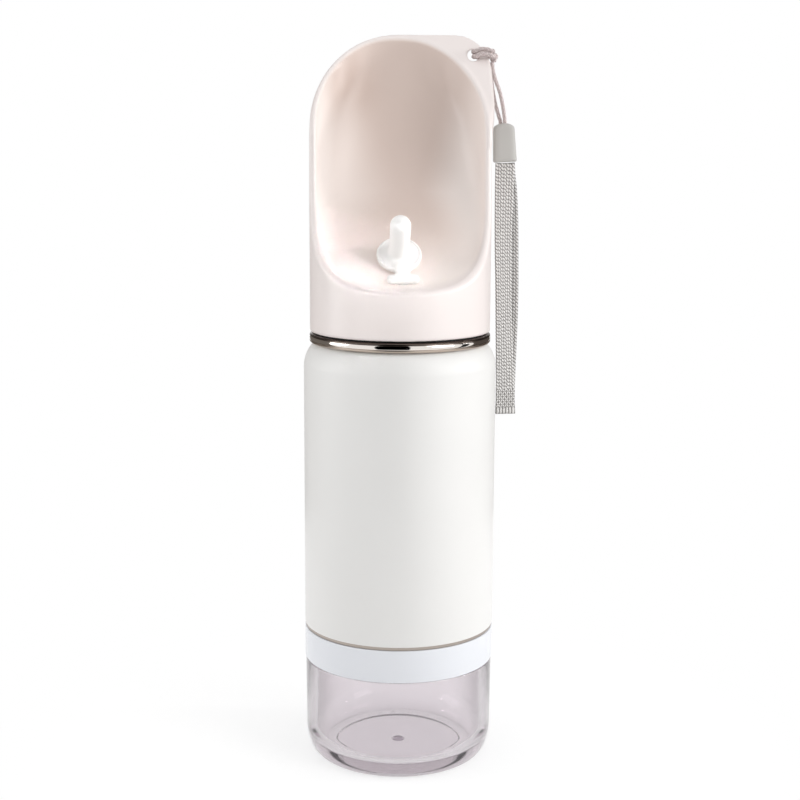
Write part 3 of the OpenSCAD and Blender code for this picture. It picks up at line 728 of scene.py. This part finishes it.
def bowl_raw(x, y, z):
    """Below zero in the space that the bowl leaves open."""
    rim = np.interp(z, RIM[:, 1], RIM[:, 0])
    rim = np.clip(rim, -BOWL_R + 0.02, BOWL_R - 0.02)
    half = np.sqrt(BOWL_R ** 2 - rim ** 2)
    back = np.interp(z, FLOOR[:, 1], FLOOR[:, 0])
    deep = np.maximum(back - rim, 0.05)
    behind = np.maximum(y - rim, 0) / deep
    f = (np.abs(x / half) ** BOWL_POWER + behind ** BOWL_POWER) ** (1 / BOWL_POWER) - 1
    return f + np.maximum(LIP_IN - z, 0)


def bowl_distance(x, y, z, e=0.05):
    """Signed distance to the bowl's surface, kept inside the head's wall."""
    f, (gx, gy, gz) = changes(bowl_raw, x, y, z, e)
    g = np.sqrt(gx * gx + gy * gy + gz * gz) / e
    f = np.clip(f / np.maximum(g, 1e-3), -12, 12)
    return smax(f, np.hypot(x, y) - BOWL_R - 0.15, 1.2)


def local(y, z, at, angle):
    """A place in the plane as seen from at, along a slope of angle and out of it."""
    c, s = math.cos(math.radians(angle)), math.sin(math.radians(angle))
    return (y - at[0]) * c + (z - at[1]) * s, -(y - at[0]) * s + (z - at[1]) * c


def slab(v, lo, hi):
    return np.maximum(lo - v, v - hi)


def seat_place(x, y, z):
    """Distance from the axis of the plug, and height over its seat."""
    u, n = local(y, z, SEAT, SEAT_ANGLE)
    return np.hypot(x - SEAT_X, u), n


def lug_distance(x, y, z, rim):
    """The lanyard's lug: a plate along the rake at one rear corner, with a web under it."""
    qx, qy = x - (LUG_X - LUG_CORNER), y - (HEAD_R - LUG_CORNER)
    outline = (np.hypot(np.maximum(qx, 0), np.maximum(qy, 0))
               + np.minimum(np.maximum(qx, qy), 0) - LUG_CORNER)
    side = (x - LUG_SIDE_X - LUG_SIDE_SLOPE * y) * math.cos(math.atan(LUG_SIDE_SLOPE))
    outline = np.maximum(outline, side)
    top = rake(0) + y * math.tan(RAKE) - LUG_STEP
    web = LUG_WEB * np.clip(1 - y / (HEAD_R + 1), 0, 1)
    lug = smax(outline, (z - top) * math.cos(RAKE), 1.0)
    lug = smax(lug, (top - LUG_T / math.cos(RAKE) - web - z) * math.cos(RAKE), 1.0)
    return smax(np.maximum(lug, -np.minimum(x, y + 4)), rim + LUG_STEP, 1.0)


def hollow_distance(r, y, z):
    """Below zero in the skirt's bore and in the hollow under and behind the bowl."""
    bore = np.maximum(r - BORE_R, z - LEDGE_Z)
    cone = np.interp(z, [LEDGE_Z + LEDGE_T, LEDGE_Z + LEDGE_T + BOWL_R - LEDGE_R],
                     [LEDGE_R, BOWL_R])
    hollow = np.maximum(np.maximum(LEDGE_Z - 1 - z, z - CAVITY_TOP), r - cone)
    hollow = np.maximum(hollow, HEAD_WALL + side_distance(FLOOR_LINE, y, z))
    return np.minimum(bore, hollow)


def head_distance(x, y, z):
    r = np.hypot(x, y)
    rim = side_distance(RIM, y, z)
    bowl = bowl_distance(x, y, z)
    band = smax(smax(rim, -bowl, 1.6), r - HEAD_R, 2.0)
    # The lug runs smoothly into the rim on its own side, and not at all on the other.
    melt = 0.7 * np.clip(x / 9, 0.01, 1)
    solid = smin(band, np.maximum(lug_distance(x, y, z, rim), 1.2 - bowl), melt)
    solid = smax(solid, HEAD_Z - z, 0.8)
    solid = smax(solid, -hollow_distance(r, y, z), 0.4)
    # Raised seat with its port's socket, and the pad and hole of the anchor.
    ru, n = seat_place(x, y, z)
    solid = smin(solid, smax(ru - DISC_R + SEAT_EDGE, slab(n, -3, 0), 0.3), 0.8)
    socket = np.maximum(ru - PORT_R - SOCKET_WALL, slab(n, -SOCKET_L, -2))
    solid = smin(solid, socket, 0.4)
    a, b = local(y, z, ANCHOR, ANCHOR_ANGLE)
    pad_x, pad_a = ANCHOR_SIZE[0] / 2 + PAD_EDGE_X, ANCHOR_SIZE[1] / 2 + PAD_EDGE_Y
    pad = np.maximum(slab(x, -pad_x, pad_x), slab(a, -pad_a, pad_a))
    solid = smin(solid, np.maximum(pad, slab(b, -PAD_T, 0)), 0.6)
    solid = smax(solid, -np.maximum(ru - PORT_R, slab(n, -SOCKET_L - 1, 1)), 0.3)
    solid = np.maximum(solid, -np.maximum(np.hypot(x, a) - PEG_R - 0.05, slab(b, -6, 1)))
    hole = np.maximum(np.hypot(x - HOLE_X, z - HOLE_Z) - HOLE_R, HOLE_FROM - y)
    return smax(solid, -hole, 0.5)


head = skin("scoop_shell", head_distance, (-34, -34, HEAD_Z), (36.5, 34, TOP_Z),
            0.7, MATS["scoop"])
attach(head, "head")
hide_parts("scoop_head")


# The painted shade on the bowl's back wall: where it is deepest, how wide it stays deep at
# each height, how much it fades to the left and right of that and over what width, and two
# soft spots of painted shade, each a strength, then x and z with their spreads.
SHADE_X, SHADE_LEFT, SHADE_RIGHT = 4, (0.5, 25), (0.92, 19)
SHADE_HALF = [190, 205, 215, 262], [14, 6, 2, 16]
SHADE_SPOTS = [(0.2, -19, 7, 255, 10), (0.26, 8, 6, 187, 9)]


def smooth(t):
    """Eases from 0 to 1 as t does, and stays level beyond."""
    t = np.clip(t, 0, 1)
    return t * t * (3 - 2 * t)


def paint_bowl_light_and_shade(obj):
    """Marks the bowl's inside for painted light, and how deep in painted shade each point
    of its back wall lies.
    """
    x, y, z = coordinates(obj)
    inside = bowl_distance(x, y, z) < 0.6
    depth = smooth(-side_distance(RIM, y, z) / np.interp(z, [215, 250], [3.2, 1.0]))
    height = smooth((z - LIP_Z + 1) / 28)
    away = np.abs(x - SHADE_X) - np.interp(z, *SHADE_HALF)
    left, right = (fade * smooth(away / width) for fade, width in (SHADE_LEFT, SHADE_RIGHT))
    middle = 1 - np.where(x < SHADE_X, left, right)
    # Near the left edge there is none of it.
    middle = middle * (1 - smooth((-x - 23) / 8))
    spots = sum(strength * np.exp(-((x - at_x) / wide) ** 2 / 2 - ((z - at_z) / tall) ** 2 / 2)
                for strength, at_x, wide, at_z, tall in SHADE_SPOTS)
    # hollow carries painted light, a lighter and warmer colour over the bowl's inside; deep carries
    # the painted shade of its back wall.
    write_attribute(obj, "hollow", inside * depth)
    write_attribute(obj, "deep", inside * depth * (height * (0.6 * middle + spots)))


paint_bowl_light_and_shade(head)
# Painted light and shade: lighter and warmer over the bowl's inside, darker and browner where its
# back wall lies in shade.
tint(MATS["scoop"], "hollow", srgb(254, 245, 240), 0, 0.6)
tint(MATS["scoop"], "deep", srgb(190, 162, 147), 0, 1)

# ---- Silicone plug, its tether and its anchor, moulded in one ----


def segment(px, py, a, b):
    """Distance to the line from a to b in a plane."""
    dx, dy = b[0] - a[0], b[1] - a[1]
    t = np.clip(((px - a[0]) * dx + (py - a[1]) * dy) / (dx * dx + dy * dy), 0, 1)
    return np.hypot(px - a[0] - t * dx, py - a[1] - t * dy)


def placed(at, angle, u, n):
    """The place in the plane that local gives as u along the slope and n out of it."""
    c, s = math.cos(math.radians(angle)), math.sin(math.radians(angle))
    return at[0] + u * c - n * s, at[1] + u * s + n * c


def plug_distance(x, y, z):
    ru, n = seat_place(x, y, z)
    disc = smax(ru - DISC_R, slab(n, 0.05, DISC_T), 1.1)
    dish = np.maximum(ru - DISC_R + DISC_RIM, DISC_T - DISH_H - n)
    disc = smax(disc, -dish, 0.8)
    stem = np.hypot(ru, np.maximum(n - STEM_L + STEM_R, 0)) - STEM_R
    stem = np.maximum(stem, 0.5 - n)
    solid = smin(disc, stem, 2.4)
    spigot = np.maximum(ru - SPIGOT_R + np.maximum(-n - 1, 0) / 3, slab(n, -SPIGOT_L, 1))
    solid = smin(solid, spigot, 0.2)
    a, b = local(y, z, ANCHOR, ANCHOR_ANGLE)
    w, l, h = ANCHOR_SIZE
    block = smax(slab(x, -w / 2, w / 2), slab(a, -l / 2, l / 2), 2.0)
    block = smax(block, slab(b, 0.05, h), 1.1)
    low = placed(ANCHOR, ANCHOR_ANGLE, 0.6, TETHER_LOW)
    high = placed(SEAT, SEAT_ANGLE, 1.5 - DISC_R, TETHER_HIGH)
    strap = np.minimum(segment(y, z, low, HINGE), segment(y, z, HINGE, high))
    strap = smax(strap - TETHER_T / 2, np.abs(x) - TETHER_W / 2, 0.6)
    ra = np.hypot(x, a)
    peg = np.maximum(ra - PEG_R, slab(b, -BARB_DOWN - 0.5, 0.5))
    barb = np.maximum(ra - BARB_R + (-b - BARB_DOWN) * 0.7,
                      slab(b, -BARB_DOWN - BARB_L, -BARB_DOWN))
    anchor = np.minimum(block, np.minimum(peg, barb))
    return smin(smin(solid, strap, 1.5), smin(anchor, strap, 1.2), 0.8)


plug = skin("silicone_plug", plug_distance, (-10, -27, 178.5), (8, -2, 208),
            0.28, MATS["silicone"])
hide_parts("plug_anchor", "plug_tether", "outlet_plug")
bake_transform(plug)

# ---- Hitch and knot of the lanyard's cord ----


def hitch(dz):
    """One turn of the cord through the lug's hole and round its edge, raised by dz."""
    s, z = 0.95 * dz, HOLE_Z + HITCH_UP + dz
    up = z + HITCH_ARCH
    return [(36.4, 25, z), (35.6, 23.6 + s, z), (33.6, 23.3 + s, up), (31.4, 23.4 + s, up),
            (30, 24 + s, z), (29.4, 25.8, z), (29.3, 28.4, z), (29.4, 31 + s, z),
            (30.2, 32.4 + s, z), (32.1, 32.4 + s, z), (34.2, 31 + s / 2, z), (35.9, 29, z),
            (36.5, 27.2, z)]


def knot_loop(steps=36):
    """A small overhand knot, drawn tight."""
    points = []
    for i in range(steps + 1):
        t = 2 * math.pi * i / steps
        points.append((KNOT[0] + 0.4 * (math.sin(t) + 2 * math.sin(2 * t)),
                       KNOT[1] + 0.75 * math.sin(3 * t),
                       KNOT[2] + 0.42 * (math.cos(t) - 2 * math.cos(2 * t))))
    return points


knot = braided("hitch_and_knot", [braid(hitch(dz), HITCH_D, side=(0, 0, 1))
                                  for dz in (-HITCH_GAP, HITCH_GAP)]
               + [braid(knot_loop(), CORD_D, side=(0, 1, 0.2))])
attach(knot, "head")
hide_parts("lanyard_knot")

# ---- Cord clamp ----


def clamp_distance(x, y, z):
    across, up = local(x, z, CLAMP_TOP[::2], CLAMP_LEAN)
    half = CLAMP_W / 2 - CLAMP_TAPER * (1 - np.clip(-up / CLAMP_H, 0, 1))
    d = smax(np.abs(across) - half, -up - CLAMP_H, 0.9)
    crown = np.hypot(across / half, np.minimum(-up - CLAMP_CROWN, 0) / CLAMP_CROWN) - 1
    d = smax(d, crown * CLAMP_CROWN, 0.4)
    return smax(d, np.abs(y - CLAMP_TOP[1]) - CLAMP_T / 2, 1.6)


clamp = skin("cord_clamp_shell", clamp_distance, (34.5, 23, 224.5), (46.5, 29, 241.5),
             0.3, MATS["clamp"])
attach(clamp, "lanyard")
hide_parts("cord_clamp")

# ---- Bottle, ring, collar and cup ----


def turned_piece(name, profile, body, material, node=None, steps=256):
    """A profile turned about Z, which stands for a CAD node where it has one."""
    obj = tidy(new_mesh(name, *revolve(profile, steps), material))
    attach(obj, body)
    if node:
        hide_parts(node)
    return obj


BEND = (BODY_R - SHOULDER_IN, SHOULDER_Z)


def shoulder(across, rise, n):
    """A quarter turn from upright to level, flatter between them than an ellipse."""
    points = []
    for i in range(n + 1):
        a = math.pi / 2 * i / n
        points.append((BEND[0] + across * math.cos(a) ** (2 / SHOULDER_POWER),
                       BEND[1] + rise * math.sin(a) ** (2 / SHOULDER_POWER)))
    return points


RISE = SHOULDER_TOP - SHOULDER_Z
turned_piece("painted_shell", [(BODY_R - SHELL_T, SEAM_Z), (BODY_R - SHELL_EDGE, SEAM_Z)]
             + arc((BODY_R - SHELL_EDGE, SEAM_Z + SHELL_EDGE), SHELL_EDGE, SHELL_EDGE, -60, 0, 4)
             + shoulder(SHOULDER_IN, RISE, 40)
             + [(SLEEVE_R, SHOULDER_TOP), (SLEEVE_R, SLEEVE_TOP), (NECK_R, SLEEVE_TOP),
                (NECK_R, SHOULDER_TOP - SHELL_T)]
             + shoulder(SHOULDER_IN - SHELL_T, RISE - SHELL_T, 24)[::-1],
             "bottle", MATS["paint"], "outer_shell")
# The ring is a polished bead between a satin lower edge, darkened as a painted reflection of
# the shaded shoulder, and a rounded upper one painted dark as a reflection, with a groove above
# them whose band is painted near black as shadow.
BEAD_LOW, BEAD_TOP, BEAD_ROUND, BEAD_RISE = RING_Z + 1.0, RING_TOP - 1.35, 1.3, 0.95
GROOVE_R, GROOVE_Z = RING_R - BEAD_ROUND - 0.3, BEAD_TOP + BEAD_RISE
turned_piece("neck_ring_turned", [(SLEEVE_R, BEAD_LOW), (RING_R - 0.4, BEAD_LOW)]
             + arc((RING_R - 0.35, (BEAD_LOW + BEAD_TOP) / 2), 0.35, (BEAD_TOP - BEAD_LOW) / 2,
                   -80, 80, 18)
             + [(RING_R - BEAD_ROUND - 0.6, BEAD_TOP), (SLEEVE_R, BEAD_TOP)],
             "bottle", MATS["ring"], "neck_ring")
turned_piece("ring_lower_edge", [(SLEEVE_R, RING_Z), (RING_R - 1.1, RING_Z)]
             + arc((RING_R - 1.15, BEAD_LOW), 1.1, BEAD_LOW - RING_Z, -80, 0, 12)
             + [(SLEEVE_R, BEAD_LOW)], "bottle", MATS["satin"], steps=192)
turned_piece("ring_upper_edge", [(SLEEVE_R, BEAD_TOP)]
             + arc((RING_R - BEAD_ROUND - 0.08, BEAD_TOP), BEAD_ROUND, BEAD_RISE, 0, 88, 12)
             + [(SLEEVE_R, GROOVE_Z)], "bottle", MATS["dark_ring"], steps=192)
turned_piece("ring_groove_band", [(SLEEVE_R, GROOVE_Z), (GROOVE_R, GROOVE_Z),
                                  (GROOVE_R, RING_TOP), (SLEEVE_R, RING_TOP)],
             "bottle", MATS["groove"], steps=192)
PLUG_IN_R, PLUG_TOP = COLLAR_PLUG_R - COLLAR_PLUG_T, REVEAL_Z + COLLAR_PLUG_H
turned_piece("collar_turned", rounded(
    [(0, CEILING_Z), (SKIRT_IN_R, CEILING_Z), (SKIRT_IN_R, COLLAR_Z), (BODY_R, COLLAR_Z),
     (BODY_R, REVEAL_Z), (COLLAR_PLUG_R, REVEAL_Z), (COLLAR_PLUG_R, PLUG_TOP),
     (PLUG_IN_R, PLUG_TOP), (PLUG_IN_R, CEILING_TOP), (0, CEILING_TOP)],
    [0, 0.4, 0.3, 0.4, 0.4, 0, 0.3, 0.3, 0.4, 0]),
    "bottle", MATS["collar"], "base_collar")
CUP_IN_R, CUP_IN_Z = CUP_NECK_R - CUP_NECK_WALL, CUP_FLOOR + CUP_BEND_H
cup = turned_piece("food_cup_turned", [(0, RECESS_H + GATE_H), (GATE_R - 0.75, RECESS_H + GATE_H),
                                       (GATE_R, RECESS_H), (GATE_R + 0.1, RECESS_H),
                                       (RECESS_R - 0.1, RECESS_H)]
                   + rounded([(RECESS_R, RECESS_H), (RECESS_R + 0.8, 0), (CUP_FOOT_R, 0)],
                             [0, 0.5, 0])[:-1]
                   + arc((CUP_FOOT_R, CUP_CORNER), CUP_LOW_R - CUP_FOOT_R, CUP_CORNER, -90, 0, 28)
                   + rounded([(CUP_LOW_R, CUP_CORNER), (CUP_R, CUP_H), (CUP_NECK_R, CUP_H),
                              (CUP_NECK_R, CUP_NECK_TOP), (CUP_IN_R, CUP_NECK_TOP),
                              (CUP_IN_R, CUP_IN_Z)], [0, 0.4, 0.3, 0.4, 0.4, 0])[1:-1]
                   + arc((CUP_IN_R - CUP_BEND_R, CUP_IN_Z), CUP_BEND_R, CUP_BEND_H, 0, -90, 20)
                   + [(0, CUP_FLOOR)], "cup", MATS["clear"], "food_cup")


def mark_gate(obj):
    """Marks the cut sprue and the step under the cup's floor, which are coloured darker; at the
    step this is a painted dark line along its edge.
    """
    x, y, z = coordinates(obj)
    r = np.hypot(x, y)
    sprue = (r < GATE_R + 0.01) & (z < RECESS_H + GATE_H + 0.01)
    # Painted shade along the step's edge.
    step = (np.abs(r - RECESS_R - 0.15) < 0.2) & (z < RECESS_H + 0.01)
    write_attribute(obj, "gate", sprue + 0.6 * step)


mark_gate(cup)


def thread(name, root, crest, low, phase, body, material):
    """A single-start screw ridge from radius root to crest, which runs out at both ends."""
    steps = int(THREAD_TURNS * (120))
    verts = []
    for i in range(steps + 1):
        t = i / steps
        a = 2 * math.pi * THREAD_TURNS * t + phase
        z = low + THREAD_TURNS * THREAD_LEAD * t
        fade = min(1, t * steps / 12, (1 - t) * steps / 12)
        tip = root + (crest - root) * math.sin(fade * math.pi / 2)
        foot = root - math.copysign(THREAD_SUNK, crest - root)
        for r, dz in ((foot, -THREAD_ROOT), (tip, -THREAD_CREST), (tip, THREAD_CREST),
                      (foot, THREAD_ROOT)):
            verts.append((r * math.cos(a), r * math.sin(a), z + dz))
    obj = tidy(new_mesh(name, verts, tube_faces(steps + 1, 4), material))
    obj.data.polygons.foreach_set("use_smooth", [False] * len(obj.data.polygons))
    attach(obj, body)


thread("neck_thread", NECK_R, NECK_R + NECK_CREST, NECK_THREAD_Z, THREAD_START,
       "bottle", MATS["steel"])
thread("skirt_thread", BORE_R, BORE_R - NECK_CREST, SKIRT_THREAD_Z, THREAD_START - 1.32 * math.pi,
       "head", MATS["scoop"])
thread("cup_thread", CUP_NECK_R, CUP_NECK_R + CUP_CREST, CUP_THREAD_Z, THREAD_START,
       "cup", MATS["clear"])
thread("collar_thread", SKIRT_IN_R, SKIRT_IN_R - CUP_CREST, COLLAR_THREAD_Z,
       THREAD_START + 1.4 * math.pi, "bottle", MATS["collar"])

# ---- Stage ----

# How dark the floor's shadow shows, how far from the middle, in metres, the floor turns plain
# white, and how brightly a card shows through clear plastic.
FLOOR_SHADE = 0.42
FLOOR_FADE = (0.05, 0.16)
CARD_SEEN = 0.7


def seen_rays(tree):
    """1 for rays that show the background: from the camera, mirrored or through glass."""
    path = add(tree, "LightPath", {})
    total = path.outputs["Is Camera Ray"]
    for ray in ("Is Glossy Ray", "Is Transmission Ray"):
        total = add(tree, "Math", {0: total, 1: path.outputs[ray]}, operation="ADD",
                    use_clamp=True).outputs[0]
    return total


def either(tree, factor, first, second):
    """The first shader where factor is 0 and the second where it is 1."""
    return add(tree, "MixShader", {0: factor, 1: first.outputs[0], 2: second.outputs[0]})


def make_floor():
    """White paper: plain for the light it throws back, nearly white to look at."""
    mat, tree = new_material("floor_white")
    paper = tree.nodes["Principled BSDF"]
    set_inputs(paper, {"Base Color": (0.82, 0.82, 0.82, 1), "Roughness": 0.9})
    faint = add(tree, "BsdfDiffuse", {"Color": (FLOOR_SHADE, FLOOR_SHADE, FLOOR_SHADE, 1)})
    glow = add(tree, "Emission", {"Strength": 1 - 0.75 * FLOOR_SHADE})
    near = add(tree, "AddShader", {0: faint.outputs[0], 1: glow.outputs[0]})
    coords = add(tree, "TexCoord", {})
    length = add(tree, "VectorMath", {0: coords.outputs["Object"]}, operation="LENGTH")
    fade = ramp(tree, length.outputs["Value"], *FLOOR_FADE, kind="SMOOTHSTEP")
    seen = either(tree, fade, near, add(tree, "Emission", {}))
    shown = either(tree, seen_rays(tree), paper, seen)
    set_inputs(tree.nodes["Material Output"], {"Surface": shown.outputs[0]})
    floor = new_mesh("floor", [(-6, -6, 0), (6, -6, 0), (6, 6, 0), (-6, 6, 0)], [(0, 1, 2, 3)],
                     mat, smooth=False, scale=1)


def make_world(level):
    """Soft light from all round, behind which the background shows plain white."""
    world = bpy.data.worlds.new("studio")
    bpy.context.scene.world = world
    world.use_nodes = True
    tree = world.node_tree
    plain = tree.nodes["Background"]
    set_inputs(plain, {"Color": (1, 1, 1, 1), "Strength": level})
    shown = either(tree, seen_rays(tree), plain, add(tree, "Background", {"Color": (1, 1, 1, 1)}))
    set_inputs(tree.nodes["World Output"], {"Surface": shown.outputs[0]})


def lamp(name, place, size, power, aim=(0, 0, 0.14), spread=180):
    """A white area lamp, with a grid that lets light through over spread degrees."""
    data = bpy.data.lights.new(name, "AREA")
    data.shape = "RECTANGLE"
    data.size, data.size_y = size
    data.energy = power
    data.spread = math.radians(spread)
    obj = in_scene(name, data)
    obj.location = place
    obj.rotation_euler = (Vector(aim) - Vector(place)).to_track_quat("-Z", "Y").to_euler()


def card(name, azimuth, width, shade, colour=(1, 1, 1), far=0.14, low=0.06, high=0.42,
         steps=8):
    """A tall card, curved round the object, for reflections; pale through clear plastic."""
    mat, tree = new_material(name)
    tree.nodes.remove(tree.nodes["Principled BSDF"])
    path = add(tree, "LightPath", {})
    strength = ramp(tree, path.outputs["Transmission Depth"], 0, 1, shade, CARD_SEEN)
    glow = add(tree, "Emission", {"Color": colour + (1,), "Strength": strength})
    set_inputs(tree.nodes["Material Output"], {"Surface": glow.outputs[0]})
    verts = []
    for k in range(steps + 1):
        a = math.radians(azimuth + width * (k / steps - 0.5))
        x, y = far * math.sin(a), -far * math.cos(a)
        verts += [(x, y, low), (x, y, high)]
    faces = [(2 * k, 2 * k + 2, 2 * k + 3, 2 * k + 1) for k in range(steps)]
    obj = new_mesh(name, verts, faces, mat, scale=1)
    obj.visible_camera = obj.visible_diffuse = False
    obj.visible_transmission = obj.visible_shadow = False


make_floor()
card("card_front", -11, 39, 0.0)
card("card_left", -122, 62, 0.16, colour=(1, 0.9, 0.8))
card("card_right", 78, 12, 0.02)
card("card_right_rear", 121, 58, 0.08, colour=(1, 0.85, 0.75))
make_world(0.55)
lamp("key", (1.27, -0.07, 0.47), (0.12, 0.12), 3.4)
lamp("right", (1.0, -0.75, 0.55), (0.7, 0.9), 5.7)
lamp("left", (-1.25, 0.0, 0.4), (0.8, 0.8), 4.9)
lamp("top", (0.0, -0.15, 1.3), (0.6, 0.6), 0.6)
lamp("fill", (0.75, -0.65, 1.1), (0.4, 0.4), 1.1)
lamp("glint", (-1.1, -0.25, 0.6), (0.05, 0.1), 0.3)
lamp("scoop_floor", (0.35, -0.5, 0.65), (0.03, 0.03), 0.0022, aim=(-0.014, -0.02, 0.187), spread=4)
bpy.context.scene.view_settings.view_transform = "Standard"
bpy.context.scene.cycles.glossy_bounces = bpy.context.scene.cycles.max_bounces
